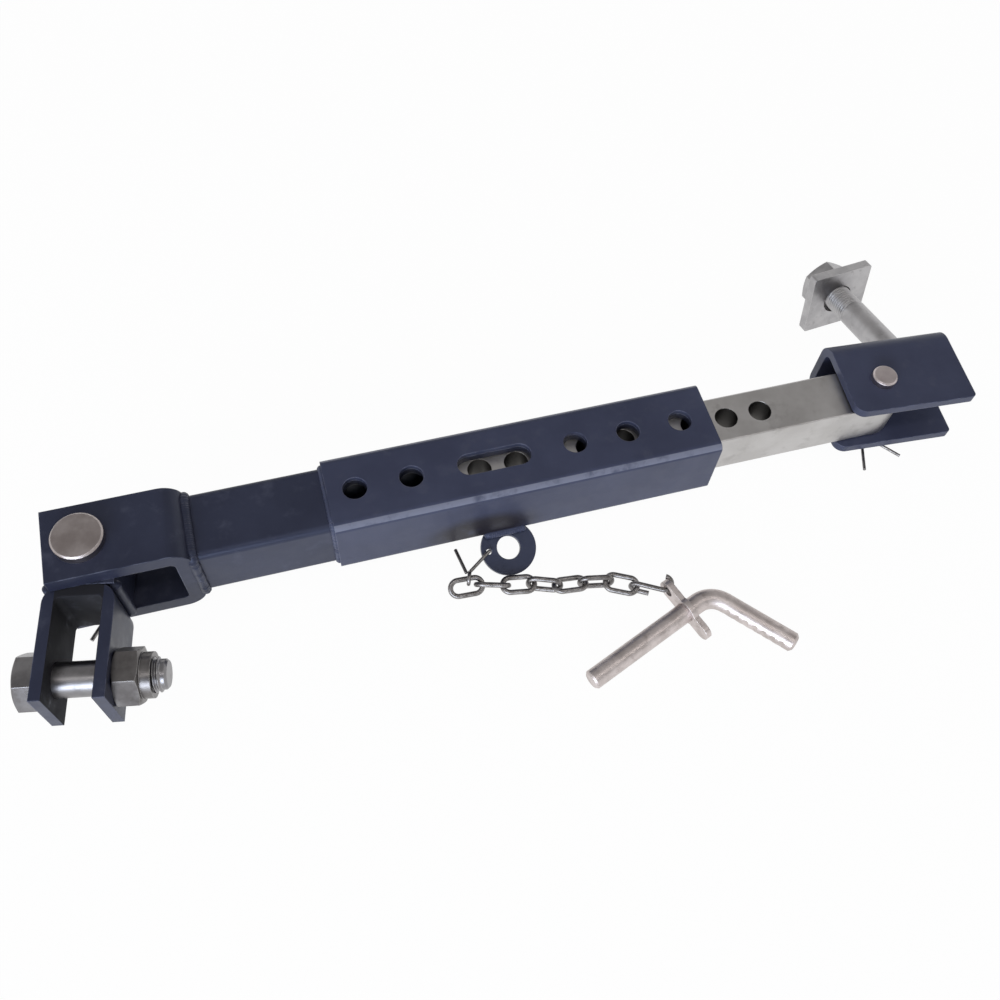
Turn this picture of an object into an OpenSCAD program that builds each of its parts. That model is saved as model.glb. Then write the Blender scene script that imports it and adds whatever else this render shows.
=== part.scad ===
// Telescopic stabiliser arm for a tractor's lower link: a square bar that slides
// in a sleeved tube, a swivelling clevis at one end, a clamp bracket at the other,
// and a bent locking pin on a chain. It lies on its pins on a flat surface, z = 0.

/* [Tubes] */
// Width of the square sliding bar
bar_w = 39.4; // [36:0.2:40]
// Clearance between bar and tube on each side
slide_clear = 0.3; // [0.2:0.1:1]
// Wall of the main tube
tube_wall = 6; // [5:0.5:7]
// Gap between the main tube and the outer sleeve on each side
nest_gap = 0.15; // [0.1:0.05:0.3]
// Wall of the outer sleeve
sleeve_wall = 3.85; // [3:0.05:5]
// Length of the outer sleeve
sleeve_len = 288; // [270:1:300]
// Main tube seen between the yoke and the sleeve
stem_len = 97; // [80:1:120]
// Outside corner radius of the tubes
corner_r = 5; // [4:0.5:6]

/* [Locking holes] */
// Bore of the locking holes
hole_d = 17.5; // [16:0.5:18]
// Pitch of the locking holes in the sleeve
sleeve_pitch = 40.75; // [38:0.25:42]
// First sleeve hole from the sleeve's yoke end
first_hole = 20; // [16:1:24]
// Distance between the slot's two end centres
slot_run = 37.3; // [30:0.1:40]
// Pitch of the nine holes in the bar
bar_pitch = 27.6; // [26:0.1:28.5]
// Bar drawn out, from the bracket pin to the sleeve's open end
reach = 144.6; // [120:0.1:200]

/* [Swivel yoke] */
// Width of the yoke's flat bar
yoke_w = 55; // [50:1:60]
// Thickness of the yoke's flat bar
yoke_t = 12; // [10:1:13]
// Space between the yoke's two plates
yoke_gap = 51; // [50.5:0.5:53]
// Swivel pin diameter
swivel_d = 25; // [22:1:28]
// Swivel pin to the inside of the yoke's web
yoke_reach = 57; // [50:1:64]
// Swivel pin to the open end of the yoke
yoke_nose = 24.5; // [22:0.5:30]

/* [Clevis] */
// Turn of the clevis about the swivel pin
clevis_turn = 10.7; // [-30:0.1:30]
// Thickness of the clevis strip
fork_t = 8; // [6:0.5:9]
// Clevis width over its two legs
fork_w = 47.4; // [44:0.1:50]
// Height of the clevis strip
fork_h = 49.5; // [40:0.5:50]
// Swivel pin to the ends of the clevis legs
fork_reach = 106.4; // [100:0.1:115]
// Swivel pin to the clevis bolt
bolt_reach = 83.9; // [80:0.1:88]
// Clevis bolt diameter
bolt_d = 24; // [20:1:26]

/* [Link bracket] */
// Turn of the bracket about its pin
bracket_turn = 3.9; // [-10:0.1:10]
// Thickness of the bracket's plate
bracket_t = 7; // [6:0.5:8]
// Space between the bracket's flanges
bracket_gap = 42; // [41:0.5:46]
// Length of the bracket
bracket_len = 97; // [90:1:110]
// Bracket pin diameter
link_pin_d = 16; // [14:1:18]

/* [Clamp] */
// Clamp bolt diameter
clamp_d = 22.4; // [20:0.1:24]
// Droop of the loose clamp bolt
clamp_droop = 12; // [6:0.5:14]
// Clamp bolt's turn towards the sleeve
clamp_yaw = 6; // [2:0.5:8]
// Web of the bracket to the clamp plate
clamp_run = 81; // [60:1:86]
// Side of the square clamp plate
plate_w = 55; // [50:1:56]

/* [Chain and lock pin] */
// Wire of the chain
wire_d = 4; // [3.5:0.1:4]
// Clear length inside one link
link_in = 20.2; // [20.1:0.1:20.5]
// Clear width inside one link
link_gap = 8; // [7.8:0.1:8.4]
// Lock pin diameter
lock_d = 15; // [13:0.5:15.5]
// Straight shank of the lock pin
lock_shank = 101; // [95:1:104]
// Turn of the lock pin's bend
lock_bend = 68; // [60:1:75]

/* [Hidden] */

$fn = 96;
// Overshoot that keeps cuts clean
eps = 1;
// Radial running clearance of every pin and bolt in its bore
pin_fit = 0.05;

// Nested square sections
tube_in = bar_w + 2 * slide_clear;
tube_w = tube_in + 2 * tube_wall;
sleeve_in = tube_w + 2 * nest_gap;
sleeve_w = sleeve_in + 2 * sleeve_wall;

// Places along the arm, measured from the swivel pin
web_x = yoke_reach + yoke_t;
sleeve_x = web_x + stem_len;
sleeve_end = sleeve_x + sleeve_len;
link_x = sleeve_end + reach;
slot_x = sleeve_x + first_hole + 2.5 * sleeve_pitch;
hole_xs = [for (k = [0, 1, 4, 5, 6]) sleeve_x + first_hole + k * sleeve_pitch];
bar_holes = 9;
last_bar_hole = link_x - 100.8;
bar_xs = [for (k = [0 : bar_holes - 1]) last_bar_hole - k * bar_pitch];
bar_x = last_bar_hole - (bar_holes - 1) * bar_pitch - 20;

// The arm's axis stands this high, on the ends of the two upright pins
axis_z = 48;
// Middle of the whole part in plan, from the swivel pin
mid_x = 305.6;
mid_y = -11.6;

// Yoke and its pin
yoke_h = yoke_gap + 2 * yoke_t;
yoke_r = 16;
washer_t = 3;
swivel_head = [35, 7];
swivel_washer_d = 40;
swivel_cotter = 5;
swivel_cotter_z = 4.8 - axis_z;
swivel_cotter_run = 14;
swivel_cotter_legs = [28, 24];
cotter_eye = 6;

// Clevis
block_r = 22;
block_clear = 0.5;
block_h = yoke_gap - 2 * block_clear;
fork_back = 27;
fork_r = 12;
hex_af = 36;
bolt_head_h = 15;
nut_h = 17;
collar_h = 7;
collar_d = 31;
bolt_end = 57;

// Link bracket
bracket_h = bracket_gap + 2 * bracket_t;
bracket_r = 14;
bracket_front = 26.9;
bracket_back = 43;
bracket_left = 30.3;
link_head = [19, 6];
link_washer_d = 30;
link_cotter = 4;
link_cotter_z = -bracket_h / 2 - washer_t - link_cotter / 2 - 0.3;
link_cotter_run = 10;
link_cotter_legs = [34.5, 35];
clamp_u = 35.5;
clamp_hole_d = 26.6;
clamp_web = bracket_back - bracket_t / 2;
clamp_head_gap = 10;
plate_t = 8;
plate_hole_d = 26;
plate_drop = 1.5;
clamp_nut_h = 18;
clamp_head_af = 32;

// Chain
ring_d = 42;
ring_hole = 18;
ring_t = 5;
ring_tilt = 22;
ring_at = [291, -39, -37.3];
ring_eye = 15.3;
ring_eye_d = 4.4;
anchor_d = 2.6;
anchor_r = 4.5;
anchor_eye = [256, -56.2, -38.2];
anchor_turn = -20;
link_pitch = link_in - 0.7;
link_c = (link_gap + wire_d) / 2;
chain_start = [243, -61];
chain_z = -40.8;
link_turn = [-3, -16, -9.5, -20, -6, -11, -26.5];
link_roll = [30, -65, 0, 79, -18, 86, 14];
function link_end(i) = i < 0
    ? chain_start
    : link_end(i - 1) + link_pitch * [cos(link_turn[i]), sin(link_turn[i])];
function link_mid(i) = (link_end(i - 1) + link_end(i)) / 2;
function link_z(i) = max(chain_z, wire_d / 2 - axis_z + link_c * abs(sin(link_roll[i])));

// S-hook between the last link and the lock pin
hook_d = 3.8;
hook_r = 5.3;
hook_run = 18.4;
hook_leg = 9;
hook_set = [-30.1, 2.1, 87.9];
hook_twist = -77.8;

// Lock pin, lying on its tip, its collar and the end of its handle
lock_tip = [320.6, -154.8];
lock_yaw = 21.3;
lock_pitch = 2.4;
lock_roll = 4.9;
lock_r = 19;
lock_grip = 58;
grip_count = 7;
collar_at = 91;
collar_t = 4.5;
collar_eye = 20;
collar_tip = 18;
collar_disc = 22;
collar_incline = 5.5;

// Paint and metal colours
paint = [0.235, 0.24, 0.31];
zinc = [0.62, 0.61, 0.62];
steel = [0.46, 0.45, 0.44];
wire = [0.30, 0.29, 0.29];

// Moves a piece from the arm's axis to its place on the ground
module arm() translate([-mid_x, -mid_y, axis_z]) children();

module rounded_square(w, r) {
    square([w - 2 * r, w], center = true);
    square([w, w - 2 * r], center = true);
    for (sx = [-1, 1], sy = [-1, 1])
        translate([sx * (w / 2 - r), sy * (w / 2 - r)]) circle(r);
}

// Square section along X from x0 to x1
module square_bar(w, r, x0, x1)
    translate([x0, 0, 0]) rotate([90, 0, 90]) linear_extrude(x1 - x0) rounded_square(w, r);

module cross_hole(x, d) translate([x, 0, -50]) cylinder(d = d, h = 100);

// Locking holes and the long slot, through both walls
module sleeve_holes() {
    for (x = hole_xs) cross_hole(x, hole_d);
    for (s = [-1, 1]) cross_hole(slot_x + s * slot_run / 2, hole_d);
    translate([slot_x, 0, 0]) cube([slot_run, hole_d, 100], center = true);
}

// Block with two rounded corners at x = len
module round_end(len, h, r) {
    translate([0, -h / 2]) square([len - r, h]);
    translate([0, r - h / 2]) square([len, h - 2 * r]);
    for (s = [-1, 1]) translate([len - r, s * (h / 2 - r)]) circle(r);
}

// Strip bent into a U, open at x = 0
module u_strip(len, h, t, r)
    difference() {
        round_end(len, h, r);
        translate([-eps, 0]) round_end(len - t + eps, h - 2 * t, r - t);
    }

// Straight wire or bar between two points
module rod(a, b, d) {
    v = b - a;
    translate(a) rotate([0, acos(v[2] / norm(v)), atan2(v[1], v[0])])
        cylinder(d = d, h = norm(v));
}

// Piece of a ring in the XY plane, from angle a0 to a1
module arc(r, d, a0, a1)
    rotate([0, 0, a0]) rotate_extrude(angle = a1 - a0) translate([r, 0]) circle(d = d);

// Weld bead round a square section, its foot at x = 0 and rising to +X
module weld_ring(w, r, leg) {
    run = w / 2 - r;
    difference() {
        for (q = [0 : 3]) rotate([q * 90, 0, 0]) {
            rod([0, -run, w / 2], [0, run, w / 2], 2 * leg);
            translate([0, run, run]) rotate([90, 0, 90]) arc(r, 2 * leg, 0, 90);
        }
        square_bar(w, r, -eps, leg + eps);
        translate([-2 * leg, -w, -w]) cube([2 * leg, 2 * w, 2 * w]);
    }
}

// Upright pin with a chamfered head, its seat at z = 0 and its tip at z = -len
module headed_pin(head, d, len, cotter, cotter_z)
    difference() {
        rotate_extrude() polygon([
            [0, -len], [d / 2 - 1.5, -len], [d / 2, 1.5 - len], [d / 2, 0],
            [head[0] / 2, 0], [head[0] / 2, head[1] - 1.2],
            [head[0] / 2 - 1.2, head[1]], [0, head[1]]
        ]);
        translate([0, 0, cotter_z]) rotate([90, 0, 0])
            cylinder(d = cotter + 0.6, h = 2 * d, center = true);
    }

module flat_washer(d, hole, t)
    difference() {
        cylinder(d = d, h = t);
        translate([0, 0, -eps]) cylinder(d = hole, h = t + 2 * eps);
    }

// Split pin along -Y: eye behind, two legs bent apart in front
module split_pin(d, run, spread, leg, eye) {
    front = [0, -run, 0];
    rod([0, run, 0], front, d);
    ball(front, d + 0.2);
    for (s = [0, 1])
        rod(front, front + leg[s] * [sin(spread[s]), -cos(spread[s]), 0], d * 0.6);
    translate([0, run + eye / 2 - 0.4, 0])
        rotate_extrude() translate([eye / 2, 0]) circle(d = d * 0.6);
}

module ball(p, d) translate(p) sphere(d = d);

// Hexagon along Z with chamfered corners, flats across = af
module hex_block(af, h) {
    corner = af / cos(30) / 2;
    intersection() {
        rotate(30) cylinder(r = corner, h = h, $fn = 6);
        rotate_extrude() polygon([
            [0, 0], [af / 2, 0], [corner + 0.2, 1.5], [corner + 0.2, h - 1.5],
            [af / 2 - 0.5, h], [0, h]
        ]);
    }
}

// Shank along Z from inside the head, which seats at z = seat, to a chamfered tip
module shank(d, seat, tip)
    rotate_extrude() polygon([
        [0, seat - 1], [d / 2, seat - 1], [d / 2, tip - 1.5], [d / 2 - 1.5, tip], [0, tip]
    ]);

module bore(d, h) translate([0, 0, -eps]) cylinder(d = d, h = h + 2 * eps);

module sleeve_tube() color(paint) arm()
    difference() {
        square_bar(sleeve_w, corner_r + 1, sleeve_x, sleeve_end);
        square_bar(sleeve_in, corner_r + nest_gap, sleeve_x - eps, sleeve_end + eps);
        sleeve_holes();
    }

module main_tube() color(paint) arm()
    difference() {
        square_bar(tube_w, corner_r, web_x, sleeve_end);
        square_bar(tube_in, 2, web_x - eps, sleeve_end + eps);
        sleeve_holes();
    }

// Bead that closes the step where the sleeve starts
module sleeve_welds() color(paint) arm()
    translate([sleeve_x, 0, 0]) mirror([1, 0, 0]) weld_ring(tube_w, corner_r, 3);

module yoke() color(paint) arm()
    difference() {
        translate([-yoke_nose, 0, 0]) rotate([90, 0, 0])
            linear_extrude(yoke_w, center = true)
            u_strip(yoke_nose + web_x, yoke_h, yoke_t, yoke_r);
        cross_hole(0, swivel_d + 2 * pin_fit);
    }

module yoke_weld() color(paint) arm()
    translate([web_x, 0, 0]) weld_ring(tube_w, corner_r, 4);

module swivel_pin() color(steel) arm()
    translate([0, 0, yoke_h / 2])
        headed_pin(swivel_head, swivel_d, yoke_h / 2 + axis_z, swivel_cotter,
            swivel_cotter_z - yoke_h / 2);

module swivel_washer() color(steel) arm()
    translate([0, 0, -yoke_h / 2 - washer_t])
        flat_washer(swivel_washer_d, swivel_d + 1, washer_t - 0.01);

module swivel_split_pin() color(wire) arm()
    translate([0, 0, swivel_cotter_z])
        split_pin(swivel_cotter, swivel_cotter_run, [-38, 14], swivel_cotter_legs, cotter_eye);

// Turns a piece about the swivel pin, its legs towards -Y
module clevis() arm() rotate([0, 0, -clevis_turn]) children();

module swivel_block() color(paint) clevis()
    translate([0, 0, -block_h / 2]) difference() {
        union() {
            cylinder(r = block_r, h = block_h);
            translate([-block_r, -fork_back, 0]) cube([2 * block_r, fork_back, block_h]);
        }
        bore(swivel_d + 2 * pin_fit, block_h);
    }

module clevis_fork() color(paint) clevis()
    difference() {
        translate([0, -fork_reach, 0]) rotate(90) linear_extrude(fork_h, center = true)
            u_strip(fork_reach - fork_back, fork_w, fork_t, fork_r);
        translate([0, -bolt_reach, 0]) rotate([0, 90, 0])
            cylinder(d = bolt_d + 2 * pin_fit, h = fork_w + 2 * eps, center = true);
    }

// Beads where the block meets the back of the clevis
module clevis_weld() color(paint) clevis()
    for (s = [-1, 1]) intersection() {
        translate([s * block_r, -fork_back, 0]) cylinder(r = 4, h = fork_h - 6, center = true);
        translate([s * (block_r + 5), 5 - fork_back, 0]) cube([10, 10, fork_h], center = true);
    }

module on_clevis_bolt() clevis() translate([0, -bolt_reach, 0]) rotate([0, 90, 0]) children();

module clevis_bolt() color(steel) on_clevis_bolt() {
    translate([0, 0, -fork_w / 2]) mirror([0, 0, 1]) hex_block(hex_af, bolt_head_h);
    shank(bolt_d, -fork_w / 2, bolt_end);
}

module clevis_nut() color(steel) on_clevis_bolt()
    translate([0, 0, fork_w / 2]) difference() {
        union() {
            hex_block(hex_af, nut_h);
            translate([0, 0, nut_h - 1]) cylinder(d = collar_d, h = collar_h + 1);
        }
        bore(bolt_d + 2 * pin_fit, nut_h + collar_h);
        translate([0, 0, nut_h + 1]) cylinder(d = collar_d - 3, h = collar_h - 2);
    }

// Locking ring held inside the nut's collar
module nut_insert() color([0.30, 0.38, 0.55]) on_clevis_bolt()
    translate([0, 0, fork_w / 2 + nut_h + 1.1])
        flat_washer(collar_d - 3.2, bolt_d + 2 * pin_fit, collar_h - 2.2);

module sliding_bar() color(zinc) arm()
    difference() {
        union() {
            square_bar(bar_w, 1.6, bar_x, link_x);
            translate([link_x, 0, -bar_w / 2]) cylinder(d = bar_w, h = bar_w);
        }
        for (x = bar_xs) cross_hole(x, hole_d);
        cross_hole(link_x, link_pin_d + 2 * pin_fit);
    }

// Turns a piece about the bracket pin
module bracket() arm() translate([link_x, 0, 0]) rotate([0, 0, -bracket_turn]) children();

// Channel plan with rounded front corners
module bracket_plan() {
    r = 9;
    right = bracket_len - bracket_left;
    front = -bracket_front;
    translate([-bracket_left, front + r]) square([bracket_len, bracket_back - front]);
    translate([r - bracket_left, front]) square([bracket_len - r - 3, 2 * r]);
    translate([r - bracket_left, front + r]) circle(r);
    translate([right - 6, front + 3]) square([6, r]);
    translate([right - 3, front + 3]) circle(3);
}

module link_bracket() color(paint) bracket()
    difference() {
        intersection() {
            translate([-bracket_left, -bracket_front, 0]) rotate([90, 0, 90])
                linear_extrude(bracket_len)
                u_strip(bracket_front + bracket_back, bracket_h, bracket_t, bracket_r);
            linear_extrude(bracket_h + 2 * eps, center = true) bracket_plan();
        }
        cross_hole(0, link_pin_d + 2 * pin_fit);
        translate([clamp_u, clamp_web, 0]) rotate([90, 0, 0])
            cylinder(d = clamp_hole_d, h = 2 * bracket_t, center = true);
    }

module bracket_pin() color(steel) bracket()
    translate([0, 0, bracket_h / 2])
        headed_pin(link_head, link_pin_d, bracket_h / 2 + axis_z, link_cotter,
            link_cotter_z - bracket_h / 2);

module bracket_washer() color(steel) bracket()
    translate([0, 0, -bracket_h / 2 - washer_t])
        flat_washer(link_washer_d, link_pin_d + 1, washer_t - 0.01);

module bracket_split_pin() color(wire) bracket()
    translate([0, 0, link_cotter_z])
        split_pin(link_cotter, link_cotter_run, [-16, 43], link_cotter_legs, cotter_eye);

// Puts +Z along the clamp bolt, from the middle of its hole in the web
module on_clamp() bracket() translate([clamp_u, clamp_web, 0])
    rotate([-90 - clamp_droop, 0, clamp_yaw + bracket_turn]) children();

module clamp_bolt() color(zinc) on_clamp() {
    end = clamp_run + plate_t + clamp_nut_h + 2;
    translate([0, 0, -clamp_head_gap]) mirror([0, 0, 1]) rotate(30) hex_block(clamp_head_af, 13);
    shank(clamp_d, -clamp_head_gap, end);
}

module clamp_plate() color(zinc) on_clamp()
    translate([0, 0, clamp_run]) difference() {
        translate([0, plate_drop, 0]) linear_extrude(plate_t) rounded_square(plate_w, 2);
        translate([0, plate_drop, 0]) bore(plate_hole_d, plate_t);
    }

module clamp_nut() color(zinc) on_clamp()
    translate([0, 0, clamp_run + plate_t]) difference() {
        hex_block(hex_af, clamp_nut_h);
        bore(clamp_d + 2 * pin_fit, clamp_nut_h);
    }

module on_ring() arm() translate(ring_at) rotate([ring_tilt, 0, 0]) children();

// Tilted ring, coped to the sleeve's lower front edge
module chain_ring() color(paint)
    difference() {
        on_ring() difference() {
            translate([0, 0, -ring_t / 2]) cylinder(d = ring_d, h = ring_t);
            cylinder(d = ring_hole, h = 2 * ring_t, center = true);
            translate([-ring_eye, 0, 0]) cylinder(d = ring_eye_d, h = 2 * ring_t, center = true);
        }
        arm() square_bar(sleeve_w, corner_r + 1, sleeve_x, sleeve_end);
    }

module ring_weld() color(paint)
    difference() {
        arm() translate([ring_at[0] - 15, -sleeve_w / 2, -sleeve_w / 2 + 3])
            rotate([0, 90, 0]) cylinder(d = 7, h = 30);
        arm() square_bar(sleeve_w, corner_r + 1, sleeve_x, sleeve_end);
        on_ring() translate([0, 0, -ring_t / 2]) cylinder(d = ring_d, h = ring_t);
    }

// Wire anchor: eye round the first link, one leg hooked through the ring
module chain_anchor() color(wire) arm() {
    hole = ring_at - [ring_eye + 0.4, 0, 0];
    axis = ring_t * [0, -sin(ring_tilt), cos(ring_tilt)];
    translate(anchor_eye) rotate([0, 90, anchor_turn])
        rotate_extrude() translate([anchor_r, 0]) circle(d = anchor_d + 0.2);
    rod(anchor_eye + [-1.2, 3.4, 2.4], anchor_eye + [-4.5, 24.4, 2.3], anchor_d);
    rod(anchor_eye + [1.2, 3.8, 1.6], hole + axis, anchor_d);
    ball(hole + axis, anchor_d + 0.2);
    rod(hole + axis, hole - axis, anchor_d);
}

// One oval link along X
module oval_link() {
    c = link_in / 2 - link_gap / 2;
    for (s = [0, 1]) mirror([s, 0, 0]) translate([c, 0, 0]) arc(link_c, wire_d, -90, 90);
    for (s = [-1, 1]) rod([-c, s * link_c, 0], [c, s * link_c, 0], wire_d);
}

module chain_link(i) color(wire) arm()
    translate([link_mid(i)[0], link_mid(i)[1], link_z(i)])
        rotate([link_roll[i], 0, link_turn[i]]) oval_link();

// Two bends at right angles on a straight run, the first with a longer free leg
module s_hook() color(wire) arm() {
    along = link_in / 2 + wire_d / 2 - link_pitch / 2;
    last = link_turn[6];
    translate([link_end(6)[0], link_end(6)[1], link_z(6)] + along * [cos(last), sin(last), 0])
        rotate([hook_set[2], -hook_set[1], hook_set[0]]) translate([0.5, 0, 0]) {
            arc(hook_r, hook_d, 90, 270);
            rod([0, -hook_r, 0], [hook_leg, -hook_r, 0], hook_d);
            translate([0, hook_r, 0]) {
                rod([0, 0, 0], [hook_run, 0, 0], hook_d);
                translate([hook_run, 0, 0]) rotate([hook_twist, 0, 0]) translate([0, hook_r, 0])
                    arc(hook_r, hook_d, -90, 90);
            }
        }
}

// Puts +X along the lock pin's shank, from its tip
module on_lock() arm() translate([lock_tip[0], lock_tip[1], lock_d / 2 - axis_z])
    rotate([lock_roll, -lock_pitch, lock_yaw]) children();

module lock_pin() color(zinc) on_lock() {
    rotate([0, 90, 0]) cylinder(d1 = lock_d - 3, d2 = lock_d, h = 1.5);
    translate([1.5, 0, 0]) rotate([0, 90, 0]) cylinder(d = lock_d, h = lock_shank - 1.5);
    translate([lock_shank, -lock_r, 0]) {
        rotate(90) mirror([0, 1]) arc(lock_r, lock_d, 0, lock_bend);
        rotate([0, 0, -lock_bend]) translate([0, lock_r, 0]) {
            lock_handle();
            sphere(d = lock_d + 0.1);
        }
    }
}

// Straight grip with finger notches along its outer side
module lock_handle() {
    notch_pitch = (lock_grip - 6) / grip_count;
    difference() {
        union() {
            rotate([0, 90, 0]) cylinder(d = lock_d, h = lock_grip - 2);
            translate([lock_grip - 2, 0, 0]) rotate([0, 90, 0])
                cylinder(d1 = lock_d, d2 = lock_d - 4, h = 2);
        }
        for (i = [0 : grip_count - 1])
            translate([notch_pitch * (i + 0.6), -lock_d / 2 - 1.6, -lock_d])
                cylinder(r = 3.2, h = 2 * lock_d);
    }
}

// Flat collar with a chain eye on one side
module lock_pin_collar() color(zinc) on_lock()
    translate([collar_at, 0, 0]) rotate([collar_incline - lock_roll, 0, 0])
        rotate([90, 0, 90]) translate([0, 0, -collar_t / 2]) difference() {
            union() {
                cylinder(d = collar_disc, h = collar_t);
                translate([collar_eye, 0, 0]) cylinder(d = 16, h = collar_t);
                translate([-collar_tip, 0, 0]) cylinder(d = 14, h = collar_t);
                translate([0, -8, 0]) cube([collar_eye, 16, collar_t]);
                translate([-collar_tip, -7, 0]) cube([collar_tip, 14, collar_t]);
            }
            bore(lock_d + 2 * pin_fit, collar_t);
            translate([collar_eye, 0, 0]) bore(9, collar_t);
        }

sleeve_tube();
main_tube();
sleeve_welds();
yoke();
yoke_weld();
swivel_pin();
swivel_washer();
swivel_split_pin();
swivel_block();
clevis_fork();
clevis_weld();
clevis_bolt();
clevis_nut();
nut_insert();
sliding_bar();
link_bracket();
bracket_pin();
bracket_washer();
bracket_split_pin();
clamp_bolt();
clamp_plate();
clamp_nut();
chain_ring();
ring_weld();
chain_anchor();
chain_link(0);  // chain_link_1
chain_link(1);  // chain_link_2
chain_link(2);  // chain_link_3
chain_link(3);  // chain_link_4
chain_link(4);  // chain_link_5
chain_link(5);  // chain_link_6
chain_link(6);  // chain_link_7
s_hook();
lock_pin();
lock_pin_collar();
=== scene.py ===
# %% [markdown]
# # Lower link stabiliser
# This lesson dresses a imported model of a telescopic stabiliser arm: two nested
# square tubes, a pierced bar that slides in them, a swivelling clevis, a clamp
# bracket and a bent locking pin on a chain. The exact model already has every
# form that carries load, so here it gets its paint, plating, weld ripples and
# screw threads, a camera and a plain studio.

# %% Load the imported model
import math

import bmesh
import bpy
from mathutils import Matrix, Vector, noise


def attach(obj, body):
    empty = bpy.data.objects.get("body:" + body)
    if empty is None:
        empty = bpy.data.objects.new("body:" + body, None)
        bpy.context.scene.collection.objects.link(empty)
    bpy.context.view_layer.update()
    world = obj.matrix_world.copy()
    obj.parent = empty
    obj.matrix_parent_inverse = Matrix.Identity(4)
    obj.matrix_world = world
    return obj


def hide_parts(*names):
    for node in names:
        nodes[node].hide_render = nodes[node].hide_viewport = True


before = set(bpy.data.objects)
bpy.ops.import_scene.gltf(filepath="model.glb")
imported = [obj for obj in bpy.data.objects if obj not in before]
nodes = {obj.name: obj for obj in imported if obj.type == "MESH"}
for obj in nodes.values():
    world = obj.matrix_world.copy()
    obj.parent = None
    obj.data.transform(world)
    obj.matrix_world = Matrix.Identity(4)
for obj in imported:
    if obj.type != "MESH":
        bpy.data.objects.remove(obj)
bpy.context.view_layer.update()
print("pieces in the packed model:", len(nodes))

# %% [markdown]
# ## Places on the arm
# The model's origin is in the middle of its outline, on the floor. The arm itself
# is easier to describe from its swivel pin, so one matrix carries that place, and
# the clevis, bracket and clamp bolt each get a matrix that turns with them. Typing
# every point in the model's own frame would work too, but each one would have to
# be worked out again for every tilted piece.

# %% Helper matrices
MM = 0.001


def shift(x, y, z):
    """A move given in millimetres."""
    return Matrix.Translation((x * MM, y * MM, z * MM))


def turn(degrees, axis):
    return Matrix.Rotation(math.radians(degrees), 4, axis)


ARM = shift(-305.6, 11.6, 48)
CLEVIS = ARM @ turn(-10.7, "Z")
CLEVIS_BOLT = CLEVIS @ shift(0, -83.9, 0) @ turn(90, "Y")
BRACKET = ARM @ shift(598.6, 0, 0) @ turn(-3.9, "Z")
CLAMP_BOLT = BRACKET @ shift(35.5, 39.5, 0) @ turn(9.9, "Z") @ turn(-102, "X")
print("the clevis bolt's middle:", [round(v, 4) for v in CLEVIS_BOLT.translation])

# %% [markdown]
# ## Camera
# The picture was taken from above and in front of the arm with a medium lens.
# A camera can be aimed by eye, but then edges drift by a few pixels, so this one
# was worked out from corners and hole centres whose places on the arm are known.
# The three rows below are its right, down and forward directions.

# %% Camera at the photograph's place
scene = bpy.context.scene
camera = bpy.data.objects.new("camera", bpy.data.cameras.new("camera"))
scene.collection.objects.link(camera)
right = Vector((0.96334, -0.26413, 0.04697))
down = Vector((-0.20764, -0.84496, -0.49287))
forward = Vector((0.16987, 0.46505, -0.86883))
pose = Matrix((right, -down, -forward)).transposed().to_4x4()
pose.translation = Vector((-0.1495, -0.3698, 0.7260))
camera.matrix_world = pose
camera.data.sensor_width = 36.0
camera.data.lens = 38.18
camera.data.shift_x = -0.0004
camera.data.shift_y = 0.0011
scene.camera = camera
print("camera height in metres:", round(pose.translation.z, 3))

# %% [markdown]
# ## Floor and wall
# The arm lies on a white ground. More light on a grey floor could whiten it, but
# would also bleach the metal. So the floor and a round wall far behind it glow
# white only for rays that come straight from the camera, or as a reflection in a
# shiny surface or through glass, and are a plain pale floor for all other light. A
# small plain share is kept even there, which carries the arm's soft shadow.

# %% White floor and wall
STUDIO_RADIUS = 30.0
WALL_HEIGHT = 16.0
FLOOR_LEVEL = -0.0002
GLOW_SHARE = 0.97
PALE = (0.90, 0.90, 0.90, 1)

scene.view_settings.view_transform = "Standard"


def node_material(name):
    material = bpy.data.materials.new(name)
    material.use_nodes = True
    material.node_tree.nodes.clear()
    return material, material.node_tree.nodes, material.node_tree.links


def seen_directly(n, l):
    """1 for rays from the camera, a mirror or clear glass, else 0."""
    path = n.new("ShaderNodeLightPath")
    total = path.outputs["Is Camera Ray"]
    for other in ("Is Glossy Ray", "Is Transmission Ray"):
        either = n.new("ShaderNodeMath")
        either.operation = "MAXIMUM"
        l.new(total, either.inputs[0])
        l.new(path.outputs[other], either.inputs[1])
        total = either.outputs[0]
    return total


def pale_floor():
    material, n, l = node_material("pale floor")
    plain = n.new("ShaderNodeBsdfDiffuse")
    plain.inputs["Color"].default_value = PALE
    glow = n.new("ShaderNodeEmission")
    glow.inputs["Color"].default_value = (1, 1, 1, 1)
    share = n.new("ShaderNodeMath")
    share.operation = "MULTIPLY"
    share.inputs[1].default_value = GLOW_SHARE
    l.new(seen_directly(n, l), share.inputs[0])
    mix = n.new("ShaderNodeMixShader")
    out = n.new("ShaderNodeOutputMaterial")
    l.new(share.outputs[0], mix.inputs[0])
    l.new(plain.outputs[0], mix.inputs[1])
    l.new(glow.outputs[0], mix.inputs[2])
    l.new(mix.outputs[0], out.inputs["Surface"])
    return material


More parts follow.
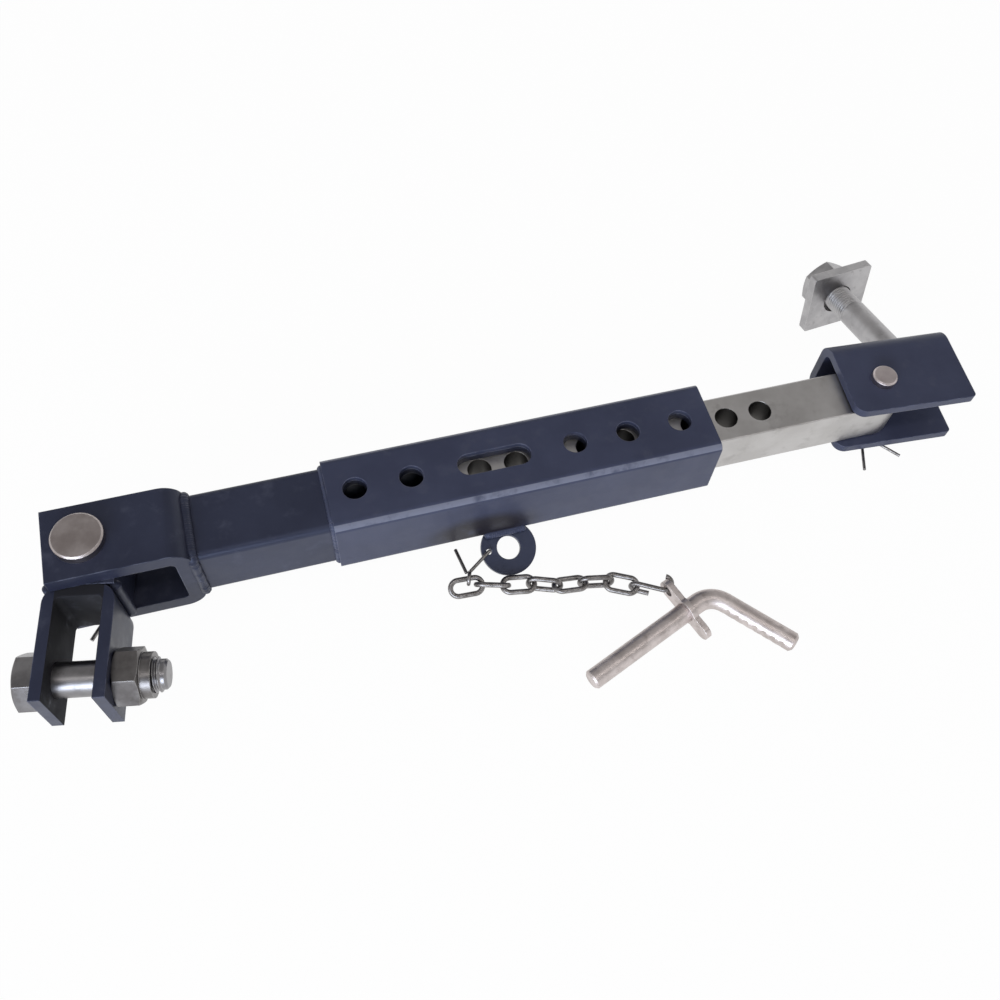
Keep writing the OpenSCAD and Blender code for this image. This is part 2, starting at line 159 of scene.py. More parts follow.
ground = pale_floor()
bpy.ops.object.select_all(action="DESELECT")
bpy.ops.mesh.primitive_plane_add(size=2 * STUDIO_RADIUS, location=(0, 0, FLOOR_LEVEL))
floor = bpy.context.object
floor.name = "floor"
bpy.ops.mesh.primitive_cylinder_add(
    vertices=96, radius=STUDIO_RADIUS, depth=WALL_HEIGHT, end_fill_type="NOTHING",
    location=(0, 0, FLOOR_LEVEL + WALL_HEIGHT / 2))
wall = bpy.context.object
wall.name = "wall"
for backdrop in (floor, wall):
    backdrop.data.materials.append(ground)
print("staged:", floor.name, "and", wall.name)

# %% [markdown]
# ## Light
# The picture has soft light whose upright faces are brighter than its tops. One
# even sky would light both alike. So the sky is kept dim, a broad cool lamp stands
# low in front, and a long narrow one overhead draws the bright line along round
# bars.

# %% Sky and lamps
SKY_COLOUR = (1.0, 0.985, 0.98, 1)
SKY_STRENGTH = 0.40

world = bpy.data.worlds.new("studio")
world.use_nodes = True
scene.world = world
world.node_tree.nodes.clear()
sky = world.node_tree.nodes.new("ShaderNodeBackground")
sky.inputs["Color"].default_value = SKY_COLOUR
sky.inputs["Strength"].default_value = SKY_STRENGTH
sky_out = world.node_tree.nodes.new("ShaderNodeOutputWorld")
world.node_tree.links.new(sky.outputs[0], sky_out.inputs["Surface"])


def softbox(name, place, aim, size, watts, colour):
    lamp = bpy.data.lights.new(name, "AREA")
    lamp.shape = "RECTANGLE"
    lamp.size, lamp.size_y = size
    lamp.energy = watts
    lamp.color = colour
    holder = bpy.data.objects.new(name, lamp)
    scene.collection.objects.link(holder)
    look = (Vector(aim) - Vector(place)).to_track_quat("-Z", "Y")
    holder.matrix_world = Matrix.Translation(place) @ look.to_matrix().to_4x4()


softbox("front lamp", place=(-1.4, -2.0, 0.8), aim=(0, 0, 0.05), size=(2.2, 1.0),
        watts=50, colour=(0.76, 0.85, 1.0))
softbox("strip lamp", place=(0, -0.6, 2.0), aim=(0, 0, 0), size=(3.0, 0.22),
        watts=8, colour=(1.0, 0.97, 0.95))

# %% [markdown]
# ## Shading helpers
# Every finish is made of the same few parts. Wiring them by hand for each one
# would fill pages, so they are helpers: one adds a node and sets its sockets, the
# others do a sum, stretch a range, or blend two colours. In all of them n is the
# material's nodes and l its links.

# %% Node, sum, range and blend
def add(n, kind, **values):
    """Adds a node and sets its sockets or settings by name."""
    node = n.new("ShaderNode" + kind)
    for name, value in values.items():
        if name in node.inputs:
            node.inputs[name].default_value = value
        elif hasattr(node, name):
            setattr(node, name, value)
        else:
            node.inputs[name.replace("_", " ")].default_value = value
    return node


def calc(n, l, operation, a, b=None):
    node = add(n, "Math", operation=operation)
    for slot, value in ((0, a), (1, b)):
        if value is None:
            continue
        if isinstance(value, (int, float)):
            node.inputs[slot].default_value = value
        else:
            l.new(value, node.inputs[slot])
    return node.outputs[0]


def spread(n, l, value, low, high, to_low=0.0, to_high=1.0):
    """Takes the range low to high smoothly onto another, held at its ends."""
    node = add(n, "MapRange", interpolation_type="SMOOTHSTEP")
    l.new(value, node.inputs["Value"])
    node.inputs["From Min"].default_value = low
    node.inputs["From Max"].default_value = high
    node.inputs["To Min"].default_value = to_low
    node.inputs["To Max"].default_value = to_high
    return node.outputs["Result"]


def blend_colour(n, l, share, first, second):
    node = add(n, "Mix", data_type="RGBA")
    l.new(share, node.inputs["Factor"])
    for index, value in ((6, first), (7, second)):
        if isinstance(value, tuple):
            node.inputs[index].default_value = (*value, 1)
        else:
            l.new(value, node.inputs[index])
    return node.outputs[2]


print("helpers: add, calc, spread, blend_colour")

# %% [markdown]
# ## Places and grain on a surface
# A finish needs to know where on the piece it is: streaks follow the bar, rings
# go round a pin, a scorched patch sits by the ring. Unwrapping each piece would
# give that too, but the arm's pieces are simple, so Object coordinates do, turned
# into the piece's own axes where it lies at an angle.

# %% Own axes, grain and distances
def object_point(n, l, place=None, stretch=(1, 1, 1)):
    """Object coordinates, or those of a piece's own axes where a place is given."""
    point = add(n, "TexCoord").outputs["Object"]
    if place is not None:
        own = add(n, "Mapping", vector_type="TEXTURE")
        own.inputs["Location"].default_value = place.translation
        own.inputs["Rotation"].default_value = place.to_euler()
        l.new(point, own.inputs["Vector"])
        point = own.outputs[0]
    if stretch != (1, 1, 1):
        drawn = add(n, "Mapping", Scale=stretch)
        l.new(point, drawn.inputs["Vector"])
        point = drawn.outputs[0]
    return point


def own_axes(n, l, place):
    """X, Y and Z of the place's own axes, each as a number."""
    split = add(n, "SeparateXYZ")
    l.new(object_point(n, l, place), split.inputs[0])
    return split.outputs


def from_axis(n, l, x, y):
    """How far a point is from the Z axis, out of its X and Y."""
    squares = [calc(n, l, "POWER", value, 2.0) for value in (x, y)]
    return calc(n, l, "SQRT", calc(n, l, "ADD", *squares))


def near(n, l, place, reach):
    """1 at a place, fading to 0 at the reach given along X, Y and Z."""
    sized = add(n, "VectorMath", operation="DIVIDE")
    l.new(object_point(n, l, place), sized.inputs[0])
    sized.inputs[1].default_value = reach
    far = add(n, "VectorMath", operation="LENGTH")
    l.new(sized.outputs[0], far.inputs[0])
    return spread(n, l, far.outputs["Value"], 1.0, 0.45)


def grain(n, l, point, scale, detail=3.0):
    node = add(n, "TexNoise", Scale=scale, Detail=detail, Roughness=0.6)
    l.new(point, node.inputs["Vector"])
    return node.outputs["Fac"]


print("helpers: object_point, own_axes, from_axis, near, grain")

# %% [markdown]
# ## Edges and fine relief
# Paint and plating are worn on edges first, and no real edge is as sharp as an exact
# one. Bevelling every piece would do it in the mesh, but the imported shapes stay as
# they are. So the Bevel node rounds the normal, and comparing it with the true
# one tells where the edges are: the two differ only close to an edge. The lighter
# tone laid on those edges is partly that wearing and partly a painted highlight.

# %% Edge finder and bump
def edge_wear_and_highlight(n, l, radius):
    """0 on flats and 1 on edges, with the rounded normal itself."""
    rounded = add(n, "Bevel", samples=6, Radius=radius)
    true = add(n, "NewGeometry")
    dot = add(n, "VectorMath", operation="DOT_PRODUCT")
    l.new(rounded.outputs[0], dot.inputs[0])
    l.new(true.outputs["Normal"], dot.inputs[1])
    return spread(n, l, dot.outputs["Value"], 0.995, 0.82), rounded.outputs[0]


def bumped(n, l, height, distance, under, strength=1.0):
    node = add(n, "Bump", Strength=strength, Distance=distance)
    l.new(height, node.inputs["Height"])
    l.new(under, node.inputs["Normal"])
    return node.outputs[0]


print("helpers: edge_wear_and_highlight, bumped")

# %% [markdown]
# ## Paint
# The tubes, yoke, clevis and bracket carry a blue-black sprayed coat with a satin
# shine. Sprayed paint is never level: it has a fine orange peel, slow changes of
# shine, dust in places, and it thins on cut edges, where a greyer tone shows; that
# lighter edge tone is also a painted highlight. One colour with noise over it would
# look like plastic, so each of these is a layer of its own. The main tube, yoke,
# clevis and ring are painted darker, as painted shade. The sleeve's long top edges
# are painted lighter, a painted highlight with some rubbing, and its front is darker
# in a patch by the ring's weld. Between the clevis's legs it is painted black, as
# painted shade, and dull with grease.

# %% Marks on the paint
RUBBED_HIGHLIGHT_CORNER = (0.05572, 0.05588)
DARK_PATCH_REACH = (0.052, 0.020, 0.026)
HALF_GAP = (0.0162, 0.0158)


def rubbed_highlight_edge(n, l, cloud):
    """1 along the sleeve's two long top corners, broken up by the cloud: a painted
    highlight, with some rubbing.
    """
    own = own_axes(n, l, ARM)
    crown = calc(n, l, "ADD", calc(n, l, "ABSOLUTE", own[1]), own[2])
    return calc(n, l, "MULTIPLY", spread(n, l, crown, *RUBBED_HIGHLIGHT_CORNER),
                spread(n, l, cloud, 0.28, 0.50, 0.25, 0.9))


# a darker patch on the sleeve's front by the ring's weld
def dark_patch(n, l, cloud, place):
    return calc(n, l, "MULTIPLY", near(n, l, place, DARK_PATCH_REACH),
                spread(n, l, cloud, 0.20, 0.46))


def shade_and_grease_between(n, l, cloud, place):
    """1 on the faces between the clevis's legs, thinner where the cloud is low: painted
    shade there, and grease that dulls them.
    """
    inside = spread(n, l, calc(n, l, "ABSOLUTE", own_axes(n, l, place)[0]), *HALF_GAP)
    return calc(n, l, "MULTIPLY", inside, spread(n, l, cloud, 0.15, 0.42))


print("marks: rubbed_highlight_edge, dark_patch, shade_and_grease_between")

# %% Blue-black paint
DEEP_PAINT = (0.043, 0.048, 0.084)
LEVEL_PAINT = (0.058, 0.065, 0.110)
DUSTY_PAINT = (0.080, 0.085, 0.122)
THIN_HIGHLIGHT_PAINT = (0.19, 0.20, 0.27)
RUBBED_HIGHLIGHT_PAINT = (0.20, 0.21, 0.27)
DARK_PATCH_PAINT = (0.022, 0.019, 0.024)
SHADE_AND_GREASE_BLACK = (0.020, 0.019, 0.021)
COOL_SHINE = (0.70, 0.78, 1.0, 1)


def blue_black_paint(name, depth=1.0, patch_place=None, shade_place=None):
    """depth darkens the colour, as painted shade. The two places, where given, bring a
    dark patch by the ring with the painted highlight on the sleeve's top corners, and
    painted shade with grease between the clevis's legs.
    """
    material, n, l = node_material(name)
    point = object_point(n, l)
    broad = grain(n, l, point, 14.0, 4.0)
    cloud = grain(n, l, point, 60.0, 5.0)
    peel = grain(n, l, point, 900.0, 2.0)
    edge, rounded = edge_wear_and_highlight(n, l, 0.0011)
    # depth scales both tones down, as painted shade
    deep, level = [tuple(depth * part for part in c) for c in (DEEP_PAINT, LEVEL_PAINT)]
    tone = blend_colour(n, l, spread(n, l, broad, 0.30, 0.72), deep, level)
    dusty = calc(n, l, "MULTIPLY", spread(n, l, cloud, 0.52, 0.80), 0.55)
    tone = blend_colour(n, l, dusty, tone, DUSTY_PAINT)
    # lighter edges: thin paint on worn edges and a painted highlight
    thin_highlight_edge = calc(n, l, "MULTIPLY", edge, spread(n, l, cloud, 0.38, 0.60))
    tone = blend_colour(n, l, calc(n, l, "MULTIPLY", thin_highlight_edge, 0.8), tone, THIN_HIGHLIGHT_PAINT)
    rough = spread(n, l, cloud, 0.30, 0.70, 0.30, 0.42)
    if patch_place is not None:
        # painted highlight on the sleeve's top corners, with some rubbing
        tone = blend_colour(n, l, rubbed_highlight_edge(n, l, cloud), tone, RUBBED_HIGHLIGHT_PAINT)
        # darker patch on the sleeve's front by the ring
        tone = blend_colour(n, l, dark_patch(n, l, cloud, patch_place), tone, DARK_PATCH_PAINT)
    if shade_place is not None:
        # painted shade between the clevis's legs, with grease that raises the roughness
        shade_and_grease = shade_and_grease_between(n, l, cloud, shade_place)
        tone = blend_colour(n, l, shade_and_grease, tone, SHADE_AND_GREASE_BLACK)
        rough = calc(n, l, "ADD", rough, calc(n, l, "MULTIPLY", shade_and_grease, 0.40))
    paint = add(n, "BsdfPrincipled", Specular_IOR_Level=0.28)
    paint.inputs["Specular Tint"].default_value = COOL_SHINE
    l.new(tone, paint.inputs["Base Color"])
    l.new(rough, paint.inputs["Roughness"])
    l.new(bumped(n, l, peel, 0.00012, rounded, 0.35), paint.inputs["Normal"])
    out = add(n, "OutputMaterial")
    l.new(paint.outputs[0], out.inputs["Surface"])
    return material


print("recipe: blue_black_paint")

# %% Four coats of it
# painted shade: a darker copy of the paint for the main tube, yoke, clevis and ring
SHADE_DEPTH = 0.62
RING_WELD = ARM @ shift(273, -30, -16)

painted = blue_black_paint("blue-black satin paint")
shaded_coat = blue_black_paint("blue-black paint, painted shade", depth=SHADE_DEPTH)
sleeve_coat = blue_black_paint("blue-black paint, darker patch by the ring", patch_place=RING_WELD)
shaded_greasy_coat = blue_black_paint("blue-black paint, greasy inside the clevis",
                          depth=SHADE_DEPTH, shade_place=CLEVIS)
print("made:", ", ".join(m.name for m in (painted, shaded_coat, sleeve_coat, shaded_greasy_coat)))

# %% [markdown]
# ## Metals
# Bare and plated steel differ in tone, in how wide their shine is and in the marks
# of making: drawn bar has streaks along its length, a turned pin has rings round
# its axis, hot-dip plating has soft patches. The walls of the bar's drilled holes
# are painted dark, as painted shade. Eight separate recipes would repeat each
# other, so one takes those marks as numbers.

# %% Marks of making
def dark_bores(n, l, place, pitch, radius):
    """1 on the walls of a row of holes drilled along Z. The place is the first
    one's, and the others follow at the pitch along -X."""
    own = own_axes(n, l, place)
    along = add(n, "Math", operation="PINGPONG")
    l.new(own[0], along.inputs[0])
    along.inputs[1].default_value = pitch / 2
    away = from_axis(n, l, along.outputs[0], own[1])
    inside = spread(n, l, away, radius + 0.0003, radius + 0.0001)
    return calc(n, l, "MULTIPLY", inside, calc(n, l, "LESS_THAN", own[0], pitch / 2))


def drawn_streaks(n, l, place, under):
    lines = grain(n, l, object_point(n, l, place, (4, 420, 420)), 1.0, 3.0)
    return bumped(n, l, lines, 0.00008, under, 0.35)


def turned_rings(n, l, place, under):
    own = own_axes(n, l, place)
    rings = add(n, "TexNoise", noise_dimensions="1D", Scale=1500.0, Detail=2.0)
    l.new(from_axis(n, l, own[0], own[1]), rings.inputs["W"])
    return bumped(n, l, rings.outputs["Fac"], 0.00014, under, 0.5)


print("marks: dark_bores, drawn_streaks, turned_rings")

# %% Metal recipe
BORE_SHADE = (0.10, 0.095, 0.09)
WORN_GLINT_EDGE = (0.86, 0.85, 0.84)


def metal(name, dark, light, rough, patch=45.0, pebble=0.3, streak=None, rings=None,
          wear_and_glint=0.35, dull=None, bores=None):
    """dark and light are the tones of its patches. dull is a stain over them. The edge
    number lightens edges, for worn edges and painted glints.
    """
    material, n, l = node_material(name)
    point = object_point(n, l)
    patches = grain(n, l, point, patch, 4.0)
    tone = blend_colour(n, l, spread(n, l, patches, 0.32, 0.68), dark, light)
    edge, normal = edge_wear_and_highlight(n, l, 0.0008)
    if dull is not None:
        stain = spread(n, l, grain(n, l, point, patch * 2.7, 6.0), 0.54, 0.74)
        tone = blend_colour(n, l, calc(n, l, "MULTIPLY", stain, 0.7), tone, dull)
    if bores is not None:
        # painted shade on the walls of the bar's holes
        tone = blend_colour(n, l, dark_bores(n, l, *bores), tone, BORE_SHADE)
    # bright edges: worn edges and painted glints on chamfers
    tone = blend_colour(n, l, calc(n, l, "MULTIPLY", edge, wear_and_glint), tone, WORN_GLINT_EDGE)
    normal = bumped(n, l, grain(n, l, point, 1400.0, 2.0), 0.00006, normal, pebble)
    if streak is not None:
        normal = drawn_streaks(n, l, streak, normal)
    if rings is not None:
        normal = turned_rings(n, l, rings, normal)
    shine = spread(n, l, patches, 0.25, 0.75, rough - 0.06, rough + 0.07)
    steel = add(n, "BsdfPrincipled", Metallic=1.0)
    l.new(tone, steel.inputs["Base Color"])
    l.new(shine, steel.inputs["Roughness"])
    l.new(normal, steel.inputs["Normal"])
    out = add(n, "OutputMaterial")
    l.new(steel.outputs[0], out.inputs["Surface"])
    return material


print("recipe: metal")

# %% Bare steels
turned_swivel = metal("turned steel, swivel pin", (0.35, 0.305, 0.295), (0.51, 0.46, 0.45),
                      0.34, rings=ARM, wear_and_glint=0.8)
turned_link = metal("turned steel, link pin", (0.46, 0.40, 0.405), (0.62, 0.555, 0.55),
                    0.33, rings=BRACKET, wear_and_glint=0.7)
oiled_steel = metal("plain oiled steel", (0.13, 0.122, 0.122), (0.22, 0.21, 0.207),
                    0.34, dull=(0.09, 0.083, 0.08))
bolt_steel = metal("rolled bolt steel", (0.19, 0.184, 0.190), (0.30, 0.293, 0.300),
                   0.32, dull=(0.14, 0.128, 0.126))
dark_wire = metal("dark drawn wire", (0.17, 0.16, 0.155), (0.32, 0.305, 0.30),
                  0.34, patch=160.0, dull=(0.06, 0.055, 0.05))
bare = (turned_swivel, turned_link, oiled_steel, bolt_steel, dark_wire)
print("made:", ", ".join(m.name for m in bare))

# %% Plated steels
BAR_HOLES = (ARM @ shift(497.8, 0, 0), 27.6 * MM, 8.75 * MM)

bar_zinc = metal("galvanised bar", (0.48, 0.465, 0.455), (0.58, 0.565, 0.555),
                 0.40, patch=30.0, streak=ARM, dull=(0.40, 0.385, 0.375),
                 bores=BAR_HOLES)
plate_zinc = metal("zinc plate", (0.37, 0.362, 0.370), (0.51, 0.50, 0.505),
                   0.38, patch=55.0, dull=(0.28, 0.272, 0.272))
bright_zinc = metal("bright zinc", (0.52, 0.465, 0.445), (0.70, 0.635, 0.615),
                    0.44, patch=70.0, pebble=0.1, dull=(0.40, 0.35, 0.33))
print("made:", ", ".join(m.name for m in (bar_zinc, plate_zinc, bright_zinc)))

# %% [markdown]
# ## Nylon
# The lock nut grips its bolt with a moulded nylon ring. A plain blue would do for
# so small a piece, but nylon is slightly waxy and takes a little light inside,
# which the subsurface socket gives for one more number.

# %% Nylon ring
def moulded_nylon():
    material, n, l = node_material("moulded nylon")
    point = object_point(n, l)
    patches = grain(n, l, point, 220.0, 3.0)
    tone = blend_colour(n, l, spread(n, l, patches, 0.3, 0.7),
                        (0.20, 0.25, 0.42), (0.27, 0.33, 0.52))
    body = add(n, "BsdfPrincipled", Subsurface_Weight=0.15, Subsurface_Scale=0.002)
    l.new(tone, body.inputs["Base Color"])
    l.new(spread(n, l, patches, 0.3, 0.7, 0.42, 0.55), body.inputs["Roughness"])
    true = add(n, "NewGeometry").outputs["Normal"]
    fine = bumped(n, l, grain(n, l, point, 1800.0), 0.00005, true, 0.3)
    l.new(fine, body.inputs["Normal"])
    out = add(n, "OutputMaterial")
    l.new(body.outputs[0], out.inputs["Surface"])
    return material


nylon = moulded_nylon()
print("made:", nylon.name)

# %% [markdown]
# ## Dressing the exact pieces
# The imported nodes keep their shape. Each gets the finish that its surface has in
# the picture. That could be done node by node, but a table shows the whole arm at
# a glance, and a node that it leaves out stops the script.

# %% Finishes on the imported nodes
CHAIN = ["chain_link_%d" % number for number in range(1, 8)]
FINISH = {
    sleeve_coat: ["sleeve_tube"],
    shaded_greasy_coat: ["clevis_fork"],
    painted: ["sleeve_welds", "link_bracket", "ring_weld"],
    shaded_coat: ["main_tube", "yoke", "yoke_weld", "swivel_block", "clevis_weld",
                 "chain_ring"],
    turned_swivel: ["swivel_pin"],
    turned_link: ["bracket_pin"],
    oiled_steel: ["swivel_washer", "clevis_nut", "bracket_washer"],
    bolt_steel: ["clevis_bolt"],
    bar_zinc: ["sliding_bar"],
    plate_zinc: ["clamp_bolt", "clamp_plate", "clamp_nut"],
    bright_zinc: ["lock_pin", "lock_pin_collar"],
    dark_wire: ["swivel_split_pin", "bracket_split_pin", "chain_anchor", "s_hook"] + CHAIN,
    nylon: ["nut_insert"],
}


def dress(obj, material):
    obj.data.materials.clear()
    obj.data.materials.append(material)


for material, names in FINISH.items():
    for name in names:
        dress(nodes[name], material)
dressed = {name for names in FINISH.values() for name in names}
if dressed != set(nodes):
    raise SystemExit("nodes without a finish: %s" % sorted(set(nodes) ^ dressed))
print("nodes dressed:", len(dressed))

# %% [markdown]
# ## Modelling helpers
# The bolts and weld beads are modelled with the same tools as by hand, so that each
# step can be tried in the window too. Operators act on whatever is selected, so
# each piece starts with nothing selected, and faces are then picked in code by
# where they lie. A finished piece has its place in its mesh and its object at the
# origin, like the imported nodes.

# %% Select, edit and apply
def fresh():
    """Leaves edit mode and deselects everything."""
    if bpy.context.object and bpy.context.object.mode != "OBJECT":
        bpy.ops.object.mode_set(mode="OBJECT")
    bpy.ops.object.select_all(action="DESELECT")


def take(obj):
    """Makes one object the only one selected, and the active one."""
    fresh()
    obj.select_set(True)
    bpy.context.view_layer.objects.active = obj


def edit(obj):
    take(obj)
    bpy.ops.object.mode_set(mode="EDIT")
    bpy.ops.mesh.select_mode(type="FACE")


def pick_faces(test):
    """In edit mode, selects only the faces whose centre and normal pass the test."""
    mesh = bmesh.from_edit_mesh(bpy.context.object.data)
    for part in (mesh.verts, mesh.edges, mesh.faces):
        for item in part:
            item.select = False
    for face in mesh.faces:
        if test(face.calc_center_median(), face.normal):
            face.select_set(True)
    mesh.select_flush_mode()
    bmesh.update_edit_mesh(bpy.context.object.data)


def modify(obj, kind, **settings):
    take(obj)
    modifier = obj.modifiers.new(kind.lower(), kind)
    for name, value in settings.items():
        setattr(modifier, name, value)
    bpy.ops.object.modifier_apply(modifier=modifier.name)


print("helpers: fresh, take, edit, pick_faces, modify")

# %% Grow, join and settle
def cylinder(name, sides, radius, low, high):
    """A cylinder on the Z axis, in millimetres."""
    fresh()
    bpy.ops.mesh.primitive_cylinder_add(
        vertices=sides, radius=radius * MM, depth=(high - low) * MM,
        location=(0, 0, (low + high) / 2 * MM))
    obj = bpy.context.object
    obj.name = name
    bpy.ops.object.transform_apply(location=True, rotation=True, scale=True)
    return obj


def grow_end(steps):
    """Extrudes the selected end face by (rise in mm, scale) steps, as on a lathe."""
    for rise, scale in steps:
        bpy.ops.mesh.extrude_region_move(
            TRANSFORM_OT_translate={"value": (0, 0, rise * MM)})
        bpy.ops.transform.resize(value=(scale, scale, 1))


def join(first, *others):
    fresh()
    for obj in others:
        obj.select_set(True)
    first.select_set(True)
    bpy.context.view_layer.objects.active = first
    bpy.ops.object.join()
    return first


def settle(obj, place, body, stands_for, material):
    """Moves the mesh to its place, smooths it and ties it to its body."""
    obj.data.transform(place)
    take(obj)
    bpy.ops.object.shade_smooth_by_angle(angle=math.radians(32))
    dress(obj, material)
    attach(obj, body)
    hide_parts(stands_for)
    print(obj.name, "has", len(obj.data.polygons), "faces")


print("helpers: cylinder, grow_end, join, settle")

# %% [markdown]
# ## Bolt heads
# The picture shows two big bolts. Their heads are forged hexagons whose corners
# are turned off on a lathe, which leaves a curved line on each flat. Bevelling the
# corners would give straight lines, so the head is cut as it really is: a hexagon
# keeps only what lies inside a turned blank with sloping ends.

# %% Hexagon head
TURNED_OFF = 1.5
EDGE_BREAK = 0.35


def hex_head(name, across, low, high):
    corner = across / math.cos(math.radians(30)) / 2
    blank_radius = corner + 0.2
    head = cylinder(name, 6, corner, low, high)
    blank = cylinder("blank", 72, blank_radius, low + TURNED_OFF, high - TURNED_OFF)
    for way in (1, -1):
        edit(blank)
        pick_faces(lambda centre, normal: normal.z * way > 0.9)
        grow_end([(TURNED_OFF * way, (across / 2 - 0.3) / blank_radius)])
        bpy.ops.object.mode_set(mode="OBJECT")
    modify(head, "BOOLEAN", operation="INTERSECT", object=blank, solver="EXACT")
    bpy.data.objects.remove(blank)
    modify(head, "BEVEL", width=EDGE_BREAK * MM, segments=2, limit_method="ANGLE",
           angle_limit=math.radians(25))
    return head


print("recipe: hex_head")

# %% [markdown]
# ## Screw thread
# The bolts' ends carry a rolled thread: one ridge wound round a core. Bump in the
# material would leave the outline smooth, and the bolt's end stands clear of its
# nut where it would show. So the ridge is real: a small triangle is carried up the
# axis by the Screw modifier, and its two open ends are filled.

# %% Thread ridge
STEPS_A_TURN = 40
TRIANGLE_WIDE = 0.75
TRIANGLE_TALL = 0.866
ROOT_OVERLAP = 0.25
RIDGE_TO_PITCH = 0.94


def thread_ridge(core, crest, pitch, low, high):
    """A ridge from the core's radius to the crest's, between two heights."""
    fresh()
    bpy.ops.mesh.primitive_circle_add(
        vertices=3, radius=0.5 * MM, fill_type="NOTHING", location=(0, 0, 0),
        rotation=(math.radians(90), math.radians(90), 0))
    ridge = bpy.context.object
    bpy.ops.object.transform_apply(location=True, rotation=True, scale=True)
    edit(ridge)
    bpy.ops.mesh.select_all(action="SELECT")
    bpy.ops.transform.resize(value=((crest - core + ROOT_OVERLAP) / TRIANGLE_WIDE, 1,
                                    pitch * RIDGE_TO_PITCH / TRIANGLE_TALL))
    bpy.ops.object.mode_set(mode="OBJECT")
    tip = max(v.co.x for v in ridge.data.vertices)
    edit(ridge)
    bpy.ops.mesh.select_all(action="SELECT")
    bpy.ops.transform.translate(value=(crest * MM - tip, 0, (low + pitch / 2) * MM))
    bpy.ops.object.mode_set(mode="OBJECT")
    modify(ridge, "SCREW", axis="Z", angle=math.tau, screw_offset=pitch * MM,
           iterations=int((high - low) / pitch - 1), steps=STEPS_A_TURN,
           render_steps=STEPS_A_TURN, use_merge_vertices=False)
    edit(ridge)
    bpy.ops.mesh.select_all(action="SELECT")
    bpy.ops.mesh.remove_doubles(threshold=0.00001)
    bpy.ops.mesh.fill_holes(sides=3)
    bpy.ops.mesh.select_all(action="SELECT")
    bpy.ops.mesh.normals_make_consistent(inside=False)
    bpy.ops.object.mode_set(mode="OBJECT")
    return ridge


print("recipe: thread_ridge")

# %% [markdown]
# ## Whole bolts
# A bolt is forged as a plain shank and then rolled, so its thread's root is thinner
# than the shank. One turned profile could hold both, but a profile can't hold a
# hexagon, so the shank is grown from a cylinder's end and joined to its head and
# its ridge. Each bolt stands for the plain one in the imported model.

# %% Two threaded bolts
THREAD_DEPTH = 0.58
RUN_OUT = 1.2
END_CHAMFER = 1.6


def bolt(name, across, head_low, seat, thick, tip, thread_from, pitch):
    """On its own Z axis: head up to the seat, thread from thread_from to the tip."""
    radius = thick / 2
    core = radius - THREAD_DEPTH * pitch
    head = hex_head(name, across, head_low, seat)
    shank = cylinder("shank", 64, radius, seat - 2, thread_from - RUN_OUT)
    edit(shank)
    pick_faces(lambda centre, normal: normal.z > 0.9)
    grow_end([(RUN_OUT, core / radius),
              (tip - thread_from - END_CHAMFER, 1.0),
              (END_CHAMFER, (core - 1.4) / core)])
    bpy.ops.object.mode_set(mode="OBJECT")
    ridge = thread_ridge(core, radius, pitch, thread_from - 0.4, tip - 1.2)
    return join(head, shank, ridge)


clevis_bolt = bolt("clevis_bolt_threaded", across=36, head_low=-38.7, seat=-23.7,
                   thick=24, tip=57, thread_from=24.5, pitch=3.0)
settle(clevis_bolt, CLEVIS_BOLT, "clevis_bolt", "clevis_bolt", bolt_steel)
clamp_bolt = bolt("clamp_bolt_threaded", across=32, head_low=-23, seat=-10,
                  thick=22.4, tip=109, thread_from=60, pitch=2.5)
settle(clamp_bolt, CLAMP_BOLT @ turn(30, "Z"), "clamp_bolt", "clamp_bolt",
       plate_zinc)

# %% [markdown]
# ## Weld beads
# The sleeve, the yoke, the clevis block and the ring are welded on. An arc leaves
# its bead as a row of overlapping scales, each a frozen puddle that leans back. A
# rippled tube could stand for it, but its ripples would all be alike and stop dead
# at corners. So one scale is modelled, and copies of it, each a little different,
# follow the seam. The paint goes over the bead as over the plates.

# %% One scale of a bead
def weld_scale(radius):
    """A flattened ball whose back is pushed out and down, as a puddle freezes."""
    size = radius * MM
    fresh()
    bpy.ops.mesh.primitive_uv_sphere_add(segments=16, ring_count=10, radius=size)
    scale = bpy.context.object
    edit(scale)
    bpy.ops.mesh.select_all(action="SELECT")
    bpy.ops.transform.resize(value=(0.62, 1.0, 1.0))
    pick_faces(lambda centre, normal: normal.x < -0.15)
    bpy.ops.transform.translate(value=(-0.35 * size, 0, -0.12 * size))
    pick_faces(lambda centre, normal: centre.z < -0.55 * size)
    bpy.ops.transform.resize(value=(0.8, 0.8, 0.7))
    bpy.ops.object.mode_set(mode="OBJECT")
    return scale


print("recipe: weld_scale")

# %% A row of scales
LIFT = 0.10
SWELL = 0.06


def weld_bead(name, radius, seam):
    """seam is a list of (point, direction along the seam, direction out of the corner)."""
    one = weld_scale(radius)
    row = []
    for index, (point, along, out) in enumerate(seam):
        change = noise.noise((index * 0.7, radius, 0.3))
        x = Vector(along).normalized()
        z = Vector(out).normalized()
        axes = Matrix((x, z.cross(x), z)).transposed().to_4x4()
        axes.translation = Vector(point) * MM + z * (LIFT * change * radius * MM)
        copy = bpy.data.objects.new(name, one.data.copy())
        scene.collection.objects.link(copy)
        copy.data.transform(axes @ Matrix.Scale(1 + SWELL * change, 4))
        row.append(copy)
    bpy.data.objects.remove(one)
    bead = join(*row)
    bead.name = name
    return bead


print("recipe: weld_bead")

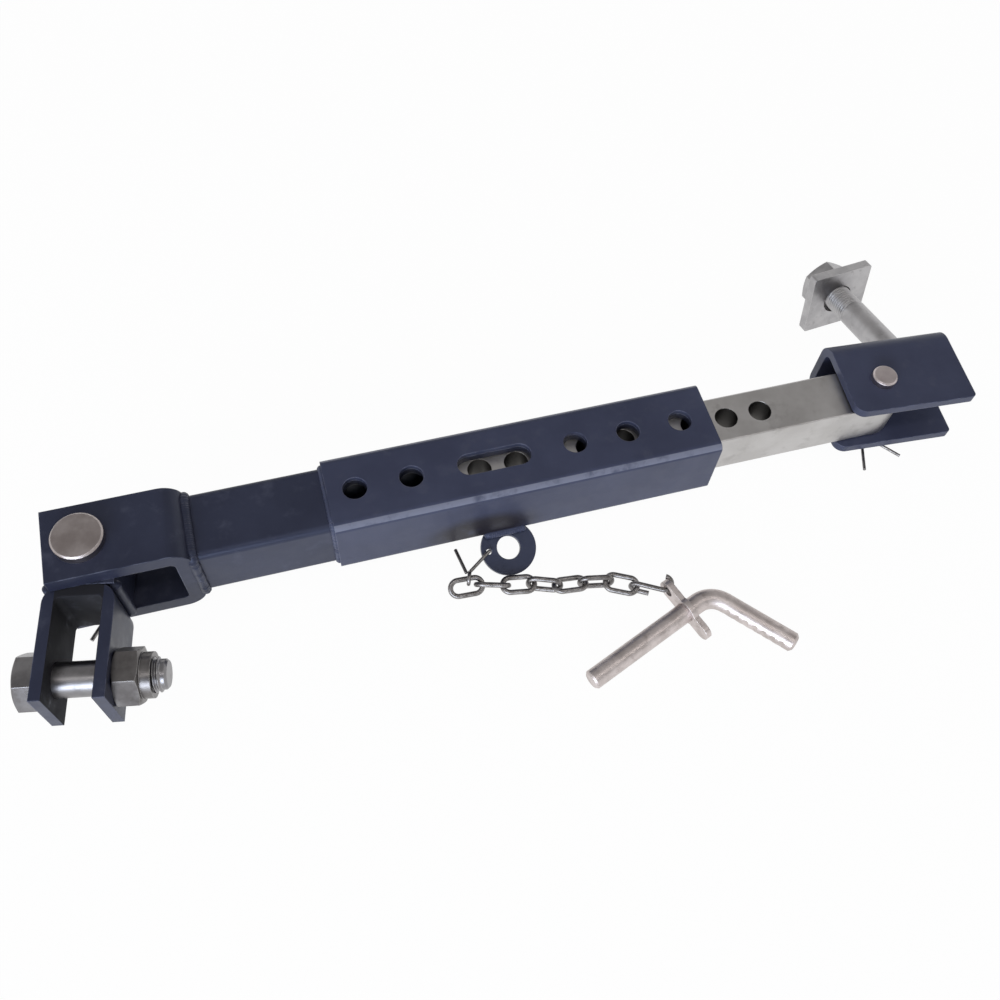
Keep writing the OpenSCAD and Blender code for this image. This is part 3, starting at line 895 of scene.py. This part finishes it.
# %% Seams for it to follow
def square_seam(x, half, corner, lean, step):
    """Round a square tube whose axis is X, leaning towards lean along that axis."""
    seam = []
    flat = half - corner
    across = round(2 * flat / step)
    round_it = round(math.pi / 2 * corner / step)
    place = Vector((x, 0, 0))
    outward = Vector((lean, 0, 0))
    for quarter in range(4):
        facing = turn(90 * quarter, "X").to_3x3()
        for i in range(across):
            point = Vector((0, -flat + (i + 0.5) * 2 * flat / across, half))
            seam.append((facing @ point + place, facing @ Vector((0, 1, 0)),
                         facing @ (outward + Vector((0, 0, 1)))))
        for i in range(round_it):
            a = math.radians(90 - 90 * (i + 0.5) / round_it)
            ray = Vector((0, math.cos(a), math.sin(a)))
            point = Vector((0, flat, flat)) + ray * corner
            seam.append((facing @ point + place,
                         facing @ Vector((0, math.sin(a), -math.cos(a))),
                         facing @ (ray + outward)))
    return seam


def straight_seam(first, last, out, step):
    first, last = Vector(first), Vector(last)
    count = round((last - first).length / step)
    return [(first.lerp(last, (i + 0.5) / count), last - first, out) for i in range(count)]


TUBE_HALF = 26
TUBE_CORNER = 6

sleeve_seam = square_seam(166, TUBE_HALF, TUBE_CORNER, lean=-1, step=1.5)
yoke_seam = square_seam(69, TUBE_HALF, TUBE_CORNER, lean=1, step=1.8)
ring_seam = straight_seam((276.5, -30, -27), (305.5, -30, -27), (0, -1, 0.1), step=1.7)
clevis_seams = [
    straight_seam((22 * side, -27, -21.5), (22 * side, -27, 21.5), (side, 1, 0), step=1.8)
    for side in (-1, 1)]
print("scales round the sleeve's end:", len(sleeve_seam))

# %% Beads on the arm and the clevis
sleeve_bead = weld_bead("sleeve_bead", 2.95, sleeve_seam)
settle(sleeve_bead, ARM, "arm", "sleeve_welds", painted)
yoke_bead = weld_bead("yoke_bead", 3.9, yoke_seam)
settle(yoke_bead, ARM, "arm", "yoke_weld", shaded_coat)
ring_bead = weld_bead("ring_bead", 3.3, ring_seam)
settle(ring_bead, ARM, "arm", "ring_weld", painted)
clevis_bead = join(*[weld_bead("clevis_bead", 3.9, seam) for seam in clevis_seams])
settle(clevis_bead, CLEVIS, "clevis", "clevis_weld", shaded_coat)
